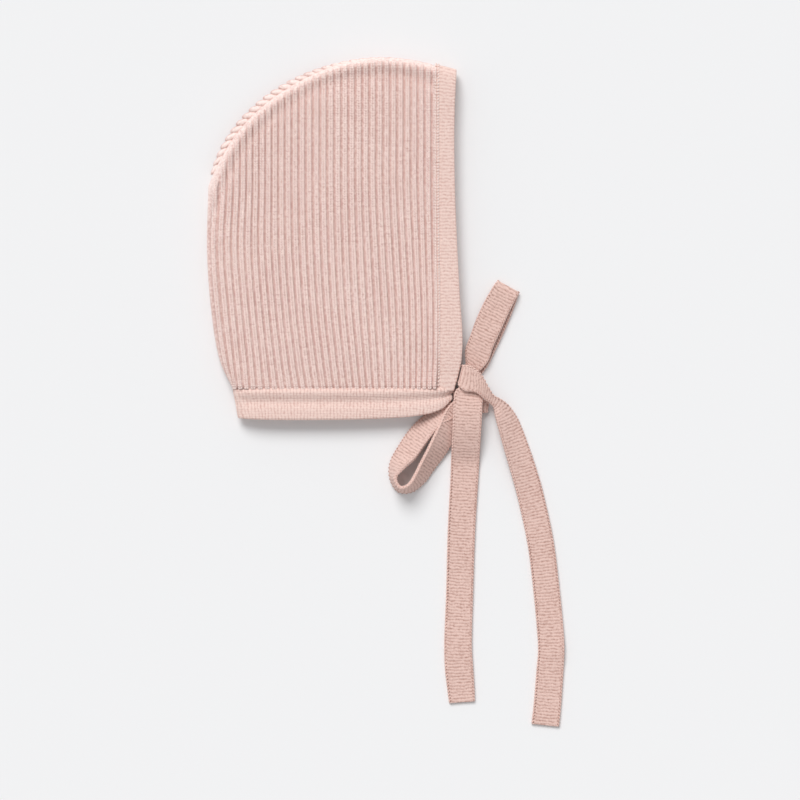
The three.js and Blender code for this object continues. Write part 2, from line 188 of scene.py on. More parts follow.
def body_surface(rib, up, upper):
    """Points of a layer's smooth outer face, and how far each is from the seam."""
    top_x = rib_x(rib, np.full_like(rib, above_crown))
    inset = rolled_edge(top_x)
    top = crown_height(top_x, inset)
    y = neck_line + (top - neck_line) * up
    x = rib_x(rib, y)
    step = 0.5
    slope = (crown_height(top_x + step, inset) - crown_height(top_x - step, inset)) / (2 * step)
    from_seam = (top - y) / np.hypot(1, slope)
    from_fold = x - rib_x(np.zeros_like(rib), y)
    radius = fold_radius if upper else under_radius
    turned = round_over(from_seam, radius) * round_over(from_fold, radius)
    if upper:
        swell = np.sin(np.pi * np.clip(rib / ribs, 0, 1)) * np.sin(np.pi * np.clip(up, 0, 1))
        rise = layer_rise + dome * swell
        for dent_x, dent_y, height, wide, tall in dents:
            rise = rise + height * np.exp(-((x - dent_x) / wide) ** 2 - ((y - dent_y) / tall) ** 2)
        for height, distance, reach in (seam_bead, seam_hollow):
            rise = rise + height * np.exp(-((from_seam - distance) / reach) ** 2)
        z = seam_height + rise * turned
    else:
        z = seam_height * (1 - turned)
    return np.stack([x, y, z], axis=-1), from_seam


def rib_relief(rib, from_seam):
    """How deep the face is sunk: 0 on a rib, the rib's depth in a gap."""
    phase = np.abs(2 * np.mod(rib - first_gap, 1.0) - 1)
    fade = np.clip((from_seam - plain_rim) / rib_fade, 0, 1)
    edge = np.clip((ribs - rib) / 0.5, 0, 1)
    return rib_depth * phase**gap_power * fade * edge


def make_object(name, points, faces):
    """A smooth-shaded mesh object, linked into the scene at the origin."""
    mesh = bpy.data.meshes.new(name)
    mesh.from_pydata([tuple(p) for p in points], [], faces)
    mesh.polygons.foreach_set("use_smooth", [True] * len(mesh.polygons))
    mesh.update()
    made = bpy.data.objects.new(name, mesh)
    bpy.context.collection.objects.link(made)
    return made


def lay_map(made, flat):
    """Give a mesh its own map, in metres of cloth, from one pair for each vertex."""
    corners = np.empty(len(made.data.loops), int)
    made.data.loops.foreach_get("vertex_index", corners)
    layer = made.data.uv_layers.new(name="cloth")
    layer.uv.foreach_set("vector", np.asarray(flat, float)[corners].ravel())


def lay_value(made, name, values):
    """Give each vertex one number, by name."""
    layer = made.data.attributes.new(name, "FLOAT", "POINT")
    layer.data.foreach_set("value", np.asarray(values, float))


# The grid is finer beside the fold, and closes up toward the seam.
samples_per_rib = 7
rib_line = np.concatenate([
    np.array([0, 0.03, 0.08, 0.15, 0.25]),
    np.arange(int(round((ribs - first_gap) * samples_per_rib)) + 1) / samples_per_rib + first_gap,
])
rib_line[-1] = ribs
even_rise = np.linspace(0, 0.90, 58)
closing_rise = 1 - 0.1 * np.cos(np.linspace(0, np.pi / 2, 26)[1:]) ** 1.3
rise_line = np.concatenate([even_rise, closing_rise])
rise_line[-1] = 1.0
rib_grid, rise_grid = np.meshgrid(rib_line, rise_line, indexing="ij")
shape = rib_grid.shape
near_points, near_seam = body_surface(rib_grid.ravel(), rise_grid.ravel(), True)
far_points, far_seam = body_surface(rib_grid.ravel(), rise_grid.ravel(), False)
near_ids = np.arange(near_points.shape[0]).reshape(shape)
far_ids = near_ids + near_ids.size
far_ids[0, :] = near_ids[0, :]
far_ids[:, -1] = near_ids[:, -1]


def grid_faces(ids, flip):
    """The squares of a grid of vertices, turned over for the under layer."""
    a, b, c, d = ids[:-1, :-1], ids[1:, :-1], ids[1:, 1:], ids[:-1, 1:]
    quads = np.stack([a, d, c, b] if flip else [a, b, c, d], axis=-1)
    return quads.reshape(-1, 4)


skin_faces = np.concatenate([grid_faces(near_ids, False), grid_faces(far_ids, True)])
used, skin_faces = np.unique(skin_faces, return_inverse=True)
skin_faces = skin_faces.reshape(-1, 4)
skin_points = np.concatenate([near_points, far_points])[used] * mm
near_sunk = rib_relief(rib_grid.ravel(), near_seam)
far_sunk = rib_relief(rib_grid.ravel(), far_seam)
skin_sunk = np.concatenate([near_sunk, far_sunk])[used]
skin_from_seam = np.concatenate([near_seam, far_seam])[used]
rim = np.concatenate([near_ids[:0:-1, 0], far_ids[:-1, 0], far_ids[-1, :-1], near_ids[-1, :0:-1]])
rim = np.searchsorted(used, rim)

# A throwaway skin gives the normals, to sink the gaps and set off the inner face.
skin = make_object("skin", skin_points, skin_faces.tolist())
normals = np.empty(len(skin_points) * 3)
skin.data.vertex_normals.foreach_get("vector", normals)
normals = normals.reshape(-1, 3)
bpy.data.objects.remove(skin)

count = len(skin_points)
outer = skin_points - normals * skin_sunk[:, None] * mm
inner = skin_points - normals * rib_wall * mm
next_rim = np.roll(rim, -1)
body_faces = skin_faces.tolist()
body_faces += (skin_faces[:, ::-1] + count).tolist()
body_faces += np.stack([rim, rim + count, next_rim + count, next_rim], axis=-1)[:, ::-1].tolist()
rib_body = make_object("rib_body_knit", np.concatenate([outer, inner]), body_faces)
grid_rib = np.concatenate([rib_grid.ravel(), -rib_grid.ravel()])[used]
grid_high = np.concatenate([near_points[:, 1], far_points[:, 1]])[used]
flat_map = np.stack([grid_rib * rib_pitch, grid_high], axis=-1) * mm
lay_map(rib_body, np.concatenate([flat_map, flat_map]))
face_light_level = 0.42      # painted light level on the face of the knit; 0 in a gap, as painted shade
seam_highlight = 0.5
seam_highlight_reach = 1.5
# Painted light: the mask is painted shade down in the rib gaps and a painted highlight along the crown
# seam's rolled edge.
painted_light = face_light_level - face_light_level * skin_sunk / rib_depth + seam_highlight * np.exp(-skin_from_seam / seam_highlight_reach)
lay_value(rib_body, "painted_light", np.concatenate([painted_light, np.zeros(count)]))


class Wire:
    """One value in a node tree. Sums, differences and products of it add Math nodes."""

    def __init__(self, tree, socket=None):
        self.tree = tree
        self.socket = socket

    def node(self, kind, settings=None, inputs=None, output=0):
        made = self.tree.nodes.new(kind)
        for name, value in (settings or {}).items():
            setattr(made, name, value)
        for name, value in (inputs or {}).items():
            if isinstance(value, Wire):
                self.tree.links.new(value.socket, made.inputs[name])
            else:
                made.inputs[name].default_value = value
        return Wire(self.tree, made.outputs[output])

    def math(self, operation, *values):
        return self.node("ShaderNodeMath", {"operation": operation}, dict(enumerate(values)))

    def clamp(self, low, high):
        return self.math("MINIMUM", self.math("MAXIMUM", self, low), high)

    def __add__(self, other):
        return self.math("ADD", self, other)

    __radd__ = __add__

    def __sub__(self, other):
        return self.math("SUBTRACT", self, other)

    def __rsub__(self, other):
        return self.math("SUBTRACT", other, self)

    def __mul__(self, other):
        return self.math("MULTIPLY", self, other)

    __rmul__ = __mul__


def cotton(name, light, deep, bump_depth, course=None):
    """Soft matte cotton, with painted light: a painted highlight where a stitch stands up, painted shade
    down between them.

    A number for course adds fine ripples over the cloth map.
    """
    material = bpy.data.materials.new(name)
    material.use_nodes = True
    tree = material.node_tree
    shader = tree.nodes["Principled BSDF"]
    start = Wire(tree)
    place = start.node("ShaderNodeTexCoord", output="Object")
    mottle = start.node("ShaderNodeTexNoise", {"noise_dimensions": "3D"},
                        {"Vector": place, "Scale": 820.0, "Detail": 2.0, "Roughness": 0.6})
    fibre = start.node("ShaderNodeTexNoise", {"noise_dimensions": "3D"},
                       {"Vector": place, "Scale": 2600.0, "Detail": 2.0, "Roughness": 0.55})
    cloud = start.node("ShaderNodeTexNoise", {"noise_dimensions": "3D"},
                       {"Vector": place, "Scale": 55.0, "Detail": 1.0})
    tone = (mottle - 0.46) * 3.6 + (fibre - 0.5) * 1.2 + (cloud - 0.5) * 0.5
    # Painted light: the painted_light mask, with random tone over it, mixes from the painted shade colour
    # (deep) to the painted highlight colour (light).
    light_mask = start.node("ShaderNodeAttribute", {"attribute_name": "painted_light"}, output="Fac")
    height = (light_mask + tone * 0.55).clamp(0.0, 1.0)
    colour = start.node("ShaderNodeMix", {"data_type": "RGBA"},
                        {"Factor": height, 6: (*deep, 1), 7: (*light, 1)}, output=2)
    if course is not None:
        flat = start.node("ShaderNodeUVMap", {"uv_map": "cloth"})
        wave = start.node("ShaderNodeTexWave", {"wave_type": "BANDS", "bands_direction": "X"},
                          {"Vector": flat, "Scale": course, "Distortion": 1.6, "Detail": 1.0,
                           "Detail Scale": 1.5})
        relief = fibre * 0.6 + mottle * 0.5 + wave * 0.7
    else:
        relief = fibre * 0.7 + mottle * 0.5
    bump = start.node("ShaderNodeBump", inputs={"Strength": 0.75, "Distance": bump_depth, "Height": relief})
    tree.links.new(colour.socket, shader.inputs["Base Color"])
    tree.links.new(bump.socket, shader.inputs["Normal"])
    shader.inputs["Roughness"].default_value = 0.92
    shader.inputs["Specular IOR Level"].default_value = 0.12
    shader.inputs["Sheen Weight"].default_value = 0.25
    shader.inputs["Sheen Roughness"].default_value = 0.6
    shader.inputs["Sheen Tint"].default_value = (1.0, 0.90, 0.87, 1)
    return material


# Painted light: the rib yarn's painted highlight colour and its painted shade colour, mixed by the
# painted_light mask.
rib_lit_colour = (0.99, 0.83, 0.78)
rib_shaded_colour = (0.66, 0.42, 0.375)
rib_yarn = cotton("rib_knit_yarn", rib_lit_colour, rib_shaded_colour, 0.00022)
rib_body.data.materials.append(rib_yarn)

def open_tree(name, sizes, result):
    """A stitch tree that takes points, named sizes and a yarn. Gives it with its inputs."""
    tree = bpy.data.node_groups.new(name, "GeometryNodeTree")
    face = tree.interface
    face.new_socket("Points", in_out="INPUT", socket_type="NodeSocketGeometry")
    for label, size in sizes.items():
        face.new_socket(label, in_out="INPUT", socket_type="NodeSocketFloat").default_value = size
    face.new_socket("Yarn", in_out="INPUT", socket_type="NodeSocketMaterial")
    face.new_socket(result, in_out="OUTPUT", socket_type="NodeSocketGeometry")
    given = tree.nodes.new("NodeGroupInput")
    return tree, {socket.name: Wire(tree, socket) for socket in given.outputs if socket.name}


def strand(knit, put, part, segments, rings, level):
    """A rounded length of yarn lying along Y, with a painted highlight on the side that will face out and
    painted shade on the side away.
    """
    ball = knit.node("GeometryNodeMeshUVSphere",
                     inputs={"Segments": segments, "Rings": rings, "Radius": 0.5})
    ball = knit.node("GeometryNodeSetShadeSmooth", inputs={"Geometry": ball})
    facing = knit.node("GeometryNodeInputNormal")
    upright = knit.node("ShaderNodeSeparateXYZ", inputs={"Vector": facing}, output="Y")
    # Painted light: the mask rises on the side turned outward as a painted highlight, and falls on the side
    # away as painted shade.
    ball = knit.node("GeometryNodeStoreNamedAttribute", {"data_type": "FLOAT", "domain": "POINT"},
                     {"Geometry": ball, "Name": "painted_light", "Value": upright * facing_highlight_gain + level})
    size = knit.node("ShaderNodeCombineXYZ",
                     inputs={"X": put[part + " Width"], "Y": put[part + " Height"],
                             "Z": put[part + " Length"]})
    return knit.node("GeometryNodeTransform",
                     inputs={"Geometry": ball, "Scale": size, "Rotation": (np.pi / 2, 0, 0)})


def carried(knit, label):
    """A vector that the points carry."""
    return knit.node("GeometryNodeInputNamedAttribute", {"data_type": "FLOAT_VECTOR"}, {"Name": label})


def close_tree(knit, put, stitch, turn):
    """Set the stitch on every point, turn it to plain mesh and give it the yarn."""
    made = knit.node("GeometryNodeInstanceOnPoints",
                     inputs={"Points": put["Points"], "Instance": stitch, "Rotation": turn,
                             "Scale": carried(knit, "grow")})
    made = knit.node("GeometryNodeRealizeInstances", inputs={"Geometry": made})
    made = knit.node("GeometryNodeSetMaterial", inputs={"Geometry": made, "Material": put["Yarn"]})
    handed_on = knit.tree.nodes.new("NodeGroupOutput")
    knit.tree.links.new(made.socket, handed_on.inputs[0])


# The plain stitches on each rib: two leaning legs of yarn to a stitch.
# Painted light: how strongly each strand's outward side is painted light and its far side painted shade.
facing_highlight_gain = 1.3
stitch_sizes = {"Leg Length": 1.42 * mm, "Leg Width": 0.92 * mm, "Leg Height": 1.45 * mm,
                "Leg Apart": 1.26 * mm, "Lean": 0.56}
stitch_tree, put = open_tree("plain_stitches", stitch_sizes, "Stitches")
knit = Wire(stitch_tree)
leg = strand(knit, put, "Leg", 4, 4, face_light_level)
stitch = stitch_tree.nodes.new("GeometryNodeJoinGeometry")
for side in (-1, 1):
    aside = knit.node("ShaderNodeCombineXYZ", inputs={"X": put["Leg Apart"] * (side / 2)})
    lean = knit.node("ShaderNodeCombineXYZ", inputs={"Z": put["Lean"] * -side})
    placed = knit.node("GeometryNodeTransform",
                       inputs={"Geometry": leg, "Translation": aside, "Rotation": lean})
    stitch_tree.links.new(placed.socket, stitch.inputs[0])
turn = knit.node("FunctionNodeAlignRotationToVector", {"axis": "Z"}, {"Vector": carried(knit, "outward")})
turn = knit.node("FunctionNodeAlignRotationToVector", {"axis": "Y", "pivot_axis": "Z"},
                 {"Rotation": turn, "Vector": carried(knit, "along")})
close_tree(knit, put, Wire(stitch_tree, stitch.outputs[0]), turn)


def knit_points(name, tree, points, vectors, settings):
    """Run a stitch tree on points that carry vectors, and keep its plain mesh."""
    carrier = make_object(name, points, [])
    for label, values in vectors.items():
        layer = carrier.data.attributes.new(label, "FLOAT_VECTOR", "POINT")
        layer.data.foreach_set("vector", np.asarray(values, float).ravel())
    modifier = carrier.modifiers.new("stitches", "NODES")
    modifier.node_group = tree
    sockets = {item.name: item.identifier for item in tree.interface.items_tree if item.in_out == "INPUT"}
    for label, value in settings.items():
        modifier[sockets[label]] = value
    evaluated = carrier.evaluated_get(bpy.context.evaluated_depsgraph_get())
    mesh = bpy.data.meshes.new_from_object(evaluated)
    carrier.modifiers.clear()
    carrier.data = mesh
    mesh.name = name
    return carrier


course_pitch = 1.25
first_course = 0.6
stitch_from_seam = 1.5
last_column = ribs - 0.32          # the band cuts the last rib short, so it is narrow
last_column_width = 0.72
sunk_near = 0.10
sunk_far = 0.60
track_steps = 400
rib_nudge = 0.01                   # small steps across and up, to find which way is out
up_nudge = 0.002
stitch_yarn = cotton("rib_stitch_yarn", rib_lit_colour, rib_shaded_colour, 0.00016)
rib_stitches = []
for layer_name, upper in (("near", True), ("far", False)):
    rib_at, up_at, wide = [], [], []
    for rib in [*np.arange(first_gap + 0.5, ribs - 0.8, 1.0), last_column]:
        fine = np.linspace(0, 1, track_steps)
        track, from_seam = body_surface(np.full(track_steps, rib), fine, upper)
        travelled = np.concatenate([[0], np.cumsum(np.linalg.norm(np.diff(track, axis=0), axis=1))])
        reach = travelled[from_seam > stitch_from_seam][-1]
        spots = np.interp(np.arange(first_course, reach, course_pitch), travelled, fine)
        up_at.append(spots)
        rib_at.append(np.full(len(spots), rib))
        wide.append(np.full(len(spots), last_column_width if rib == last_column else 1.0))
    rib_at, up_at, wide = (np.concatenate(parts) for parts in (rib_at, up_at, wide))
    middle, _ = body_surface(rib_at, up_at, upper)
    across, _ = body_surface(rib_at + rib_nudge, up_at, upper)
    ahead, _ = body_surface(rib_at, up_at + up_nudge, upper)
    span = np.linalg.norm(across - middle, axis=1) / rib_nudge
    across, ahead = across - middle, ahead - middle
    outward = np.cross(across, ahead) * (1 if upper else -1)
    outward /= np.linalg.norm(outward, axis=1, keepdims=True)
    sunk = sunk_near if upper else sunk_far
    wide = wide * np.clip(span / rib_pitch, 0.4, 1.1)
    grow = np.stack([wide, np.ones_like(wide), np.ones_like(wide)], axis=-1)
    made = knit_points(f"rib_stitches_{layer_name}", stitch_tree, (middle - outward * sunk) * mm,
                       {"outward": outward, "along": ahead, "grow": grow}, {"Yarn": stitch_yarn})
    rib_stitches.append(made)

for made in rib_stitches:
    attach(made, "root")
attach(rib_body, "root")
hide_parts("rib_body")


# ---- crown seam ---------------------------------------------------------------------
# The two upper edges of the rib are linked stitch by stitch. The under layer's rib
# ends stand out beyond the rolled edge as a row of slanting lumps of yarn.
lump_pitch = 4.7
lump_lean = 0.52          # at the nape; over the top they lie nearly along the seam
lump_lean_share = (0.16, 0.84)    # each pair: what holds at the front, and what the nape adds
lump_size_share = (0.42, 0.58)
lump_inward = (0.9, 0.9)
lump_breadth_share = (0.6, 0.4)   # of full width, and what a full-sized lump adds
lump_drop = 0.6
# Painted light level of the lumps: below 0, so more of each lump takes the painted shade colour.
lump_light_level = -0.25
seam_steps = 600
seam_x = rib_x(np.linspace(0.2, ribs, seam_steps), np.full(seam_steps, above_crown))
seam_y = crown_height(seam_x)
seam_run = np.concatenate([[0], np.cumsum(np.hypot(np.diff(seam_x), np.diff(seam_y)))])
lump_at = np.arange(2.0, seam_run[-1] - 1.0, lump_pitch)
lump_x = np.interp(lump_at, seam_run, seam_x)
lump_y = np.interp(lump_at, seam_run, seam_y)
tangent = np.stack([np.gradient(seam_x), np.gradient(seam_y)], axis=-1)
tangent /= np.linalg.norm(tangent, axis=1, keepdims=True)
lump_t = np.stack([np.interp(lump_at, seam_run, tangent[:, i]) for i in (0, 1)], axis=-1)
lump_n = np.stack([-lump_t[:, 1], lump_t[:, 0]], axis=-1)
nape = (rolled_edge(lump_x) - seam_inset_front) / (seam_inset - seam_inset_front)
lump_size = lump_size_share[0] + lump_size_share[1] * nape
lump_breadth = lump_breadth_share[0] + lump_breadth_share[1] * lump_size
lean_here = (lump_lean * (lump_lean_share[0] + lump_lean_share[1] * nape))[:, None]
lump_along = -lump_t * np.cos(lean_here) + lump_n * np.sin(lean_here)
lump_in = (lump_inward[0] + lump_inward[1] * nape)[:, None]
lump_middle = np.stack([lump_x, lump_y], axis=-1) - lump_n * lump_in
lump_points = np.column_stack([lump_middle, np.full(len(lump_at), seam_height - lump_drop)])

lump_sizes = {"Lump Length": 8.0 * mm, "Lump Width": 3.5 * mm, "Lump Height": 4.4 * mm}
lump_tree, put = open_tree("seam_lumps", lump_sizes, "Lumps")
knit = Wire(lump_tree)
lump = strand(knit, put, "Lump", 14, 12, lump_light_level)
turn = knit.node("FunctionNodeAlignRotationToVector", {"axis": "Y", "pivot_axis": "Z"},
                 {"Vector": carried(knit, "along")})
close_tree(knit, put, lump, turn)

seam_lumps = knit_points("crown_seam_lumps", lump_tree, lump_points * mm,
                         {"along": np.column_stack([lump_along, np.zeros(len(lump_at))]),
                          "grow": np.column_stack([lump_size, lump_breadth, lump_size])},
                         {"Yarn": stitch_yarn})
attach(seam_lumps, "root")


# ---- face band ------------------------------------------------------------------------
# A plain knitted band, folded double over the face edge, whose courses run across
# it. It goes up the upper layer, over the top and back down the lower layer.
band_thick = 2.2
face_rows = [
    # y, back edge, front edge, z
    (2.2, 25.6, 34.0, 6.2),
    (9, 25.8, 36.3, 7.0),
    (16, 26.0, 37.7, 7.8),
    (28, 26.0, 38.2, 8.5),
    (45, 26.1, 37.1, 8.9),
    (75, 25.7, 35.5, 8.9),
    (105, 25.5, 34.4, 8.9),
    (135, 25.5, 34.2, 8.9),
    (152, 25.5, 34.9, 8.7),
    (158.5, 25.5, 35.3, 7.6),
    (161.2, 25.5, 35.4, 5.0),
    (158.5, 25.5, 35.3, 2.5),
    (153, 25.5, 34.9, 1.4),
    (145, 25.5, 34.6, 1.1),
    (105, 25.5, 34.2, 1.1),
    (45, 26.1, 36.9, 1.1),
    (16, 26.0, 37.3, 1.1),
    (2.2, 25.6, 33.8, 1.1),
]
band_pitch = 1.65
band_step = 0.41       # between the rings of a band's mesh
band_groove = 0.22     # how deep the band is sunk between two courses
tape_half = [0.2, 0.4, 0.6, 0.76, 0.87, 0.94, 0.985, 1]
tape_across = np.array([-u for u in reversed(tape_half)] + [0] + tape_half)
tape_notch = 0.22      # how far the edge draws in between two courses
notch_from = 0.9       # shares of the half width, and how far the change runs
round_from, round_run = 0.88, 0.12
border_from, border_run = 0.74, 0.1
course_round = 0.75    # a power under 1 keeps the courses full and the grooves narrow
# The courses wander: share of a course, turns and start across, turns and start along.
wanderings = [(0.13, 4.1, 1.3, 0.83, 0.0), (0.12, 9.0, 0.0, 0.31, 0.7)]


def run_of(rows):
    """How far along a route each of its rows lies."""
    steps = np.linalg.norm(np.diff(np.asarray(rows, float), axis=0), axis=1)
    return np.concatenate([[0], np.cumsum(steps)])


def knitted_tape(name, along, middle, side, width, thick, pitch, depth, lift=None, border=0.0):
    """A soft tape of knitting along a route: its courses stand out as small ridges.

    The sides may have a thicker border, half a course out of step, and lift moves
    the whole thickness up or down by place.
    """
    forward = np.gradient(middle, axis=0)
    forward -= side * np.sum(forward * side, axis=1, keepdims=True)
    forward /= np.linalg.norm(forward, axis=1, keepdims=True)
    normal = np.cross(forward, side)
    u = np.concatenate([tape_across, tape_across[-2:0:-1]])
    face_sign = np.concatenate([np.ones(len(tape_across)), -np.ones(len(tape_across) - 2)])
    rounding = np.sqrt(1 - np.clip((np.abs(u) - round_from) / round_run, 0, 1) ** 2)
    wobble = sum(
        share * np.sin(u * turns + start)[None, :] * np.sin(along * turns_on + start_on)[:, None]
        for share, turns, start, turns_on, start_on in wanderings)
    on_border = np.clip((np.abs(u) - border_from) / border_run, 0, 1)
    courses_on = along[:, None] / pitch + wobble + 0.5 * on_border[None, :] * np.sign(border)
    course = np.abs(np.sin(np.pi * courses_on)) ** course_round
    half_thick = (thick / 2) * rounding[None, :] - depth * (1 - course) * rounding[None, :]
    half_thick = half_thick + border * on_border[None, :] * rounding[None, :]
    half_wide = width[:, None] / 2 - tape_notch * (1 - course) * (np.abs(u) > notch_from)
    raised = np.zeros((len(along), len(u))) if lift is None else lift(along[:, None], u[None, :])
    points = (middle[:, None, :]
              + side[:, None, :] * (u[None, :] * half_wide)[:, :, None]
              + normal[:, None, :] * (face_sign[None, :] * half_thick + raised)[:, :, None])
    size = len(u)
    rings = len(along)
    ids = np.arange(rings * size).reshape(rings, size)
    nxt = np.roll(ids, -1, axis=1)
    quads = np.stack([ids[:-1], ids[1:], nxt[1:], nxt[:-1]], axis=-1).reshape(-1, 4).tolist()
    faces = quads + [ids[0].tolist(), ids[-1][::-1].tolist()]
    made = make_object(name, points.reshape(-1, 3) * mm, faces)
    flat = np.stack([u[None, :] * width[:, None] / 2, np.repeat(along[:, None], size, axis=1)], axis=-1)
    lay_map(made, flat.reshape(-1, 2) * mm)
    # Painted light: the mask follows the courses, with a painted highlight on each ridge and painted shade
    # in the grooves between.
    lay_value(made, "painted_light", course.ravel())
    return made


def stations(run, step):
    """Even places along a route, about a step apart."""
    return np.linspace(0, run[-1], int(run[-1] / step) + 1)


def route(rows, run, at):
    """Every column of a route's rows, read on smooth curves at places along it."""
    return [read(run, [row[i] for row in rows], at) for i in range(len(rows[0]))]


def heading(middle):
    """The direction of travel along a line of points."""
    forward = np.gradient(middle, axis=0)
    return forward / np.linalg.norm(forward, axis=1, keepdims=True)


def chain_stitches(name, at, spots, lines, lowest, size, yarn):
    """Chains of stitches along lines of place, outward and along, kept off the table."""
    places, outs, alongs = (
        np.concatenate([
            np.stack([np.interp(spots, at, line[:, i]) for i in range(3)], axis=-1)
            for line in column])
        for column in zip(*lines))
    places[:, 2] = np.maximum(places[:, 2], lowest)
    return knit_points(name, stitch_tree, places * mm,
                       {"outward": outs, "along": alongs, "grow": np.full((len(places), 3), size)},
                       {"Yarn": yarn})


face_run = run_of([(row[1], row[0], row[3]) for row in face_rows])
face_at = stations(face_run, band_step)
face_y, face_back, face_front, face_z = route(face_rows, face_run, face_at)
crown_slant = 0.24     # the courses lean with the crown over the top
slant_from, slant_over = 140, 21
back_edge_move = 1.0   # the band reaches a little under the ribs, so that no gap shows
end_drop = 0.24        # and its ends reach down to the neck band
end_from = 9
slant = crown_slant * np.clip((face_y - slant_from) / slant_over, 0, None)
face_side = np.stack([-np.ones_like(slant), slant, np.zeros_like(slant)], axis=-1)
face_side /= np.linalg.norm(face_side, axis=1, keepdims=True)
face_back = face_back - back_edge_move
face_y = face_y - end_drop * np.clip(end_from - face_y, 0, None)
face_middle = np.stack([(face_back + face_front) / 2, face_y, face_z], axis=-1)
face_band = knitted_tape("face_band_knit", face_at, face_middle, face_side, face_front - face_back,
                         band_thick, band_pitch, band_groove)
# Painted light: the band yarn's painted highlight colour and its painted shade colour, mixed by the
# painted_light mask.
band_lit_colour = (0.92, 0.70, 0.63)
band_shaded_colour = (0.70, 0.44, 0.385)
band_yarn = cotton("band_knit_yarn", band_lit_colour, band_shaded_colour, 0.00022, course=380.0)
face_band.data.materials.append(band_yarn)

# A column of linking stitches lies over the join between the ribs and the band.
chain_pitch = 1.45
chain_inset = 0.75
chain_above = 1.10
chain_lowest = 1.25    # no stitch's middle lies lower than this over the table
chain_size = 1.12
forward = heading(face_middle)
above = np.cross(forward, face_side)
to_join = ((face_front - face_back) / 2 - chain_inset)[:, None]
join = face_middle + face_side * to_join + above * chain_above
chain_at = np.arange(1.0, face_run[-1] - 1.0, chain_pitch)
band_chain = chain_stitches("face_band_linking", face_at, chain_at, [(join, above, forward)],
                            chain_lowest, chain_size, stitch_yarn)
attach(band_chain, "root")
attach(face_band, "root")
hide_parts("face_band")


# ---- neck band --------------------------------------------------------------------------
# The same folded band along the neck edge, from the ties round the back fold. Its
# upper edge, where it is linked to the ribs, stands up as a round ridge over a groove.
neck_rows = [
    # x, top edge, foot edge, z
    (32.8, 0.2, -3.6, 3.7),
    (28, 0.6, -8.4, 6.0),
    (21, 0.7, -11.0, 7.3),
    (10, 0.7, -12.6, 8.0),
    (-12, 0.7, -13.7, 8.3),
    (-40, 0.7, -14.1, 8.3),
    (-62, 0.7, -14.0, 8.0),
    (-71.5, 0.7, -13.6, 6.9),
    (-74.1, 0.7, -13.3, 4.7),
    (-71.5, 0.7, -13.6, 2.5),
    (-66, 0.7, -13.8, 1.4),
    (-58, 0.7, -14.0, 1.1),
    (-20, 0.7, -13.7, 1.1),
    (10, 0.7, -12.0, 1.1),
    (21, 0.5, -9.2, 1.1),
    (27, -0.4, -7.2, 1.1),
    (32.8, -2.2, -6.8, 1.1),
]
neck_run = run_of([(row[0], row[1], row[3]) for row in neck_rows])
neck_at = stations(neck_run, band_step)
neck_x, neck_top, neck_foot, neck_z = route(neck_rows, neck_run, neck_at)
neck_slant = 0.18      # the courses lean with the back fold
lean_from, lean_over = -40, 34
link_rise = 1.5        # the top edge reaches up under the ribs, but for its ends
link_from, link_over = 33.5, 1.5
upper_rise = 0.45      # the upper layer sits this much prouder, where z is over this
upper_over = 6
lean = neck_slant * np.clip((lean_from - neck_x) / lean_over, 0, None)
neck_side = np.stack([lean, -np.ones_like(lean), np.zeros_like(lean)], axis=-1)
neck_side /= np.linalg.norm(neck_side, axis=1, keepdims=True)
neck_top = neck_top + link_rise * np.clip((link_from - neck_x) / link_over, 0, 1)
neck_high = neck_z + upper_rise * (neck_z > upper_over)
neck_middle = np.stack([neck_x, (neck_top + neck_foot) / 2, neck_high], axis=-1)
ridge_height = 1.15
ridge_across = 0.24
fold_row = 8           # the row where the band turns round the back fold
neck_groove = 0.20     # how deep it is sunk between two courses


def ridge_and_groove(along, u):
    """The round ridge at the top edge and the groove below it, on the upper layer."""
    upper = np.clip((neck_run[fold_row] - along) / 6, 0, 1)
    ridge = ridge_height * np.exp(-((u + 0.66) / ridge_across) ** 2)
    groove = ridge_height * np.exp(-((u + 0.10) / ridge_across) ** 2)
    return (ridge - groove) * upper


neck_band = knitted_tape("neck_band_knit", neck_at, neck_middle, neck_side, neck_top - neck_foot,
                         band_thick, band_pitch, neck_groove, lift=ridge_and_groove)
neck_band.data.materials.append(band_yarn)
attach(neck_band, "root")
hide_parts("neck_band")


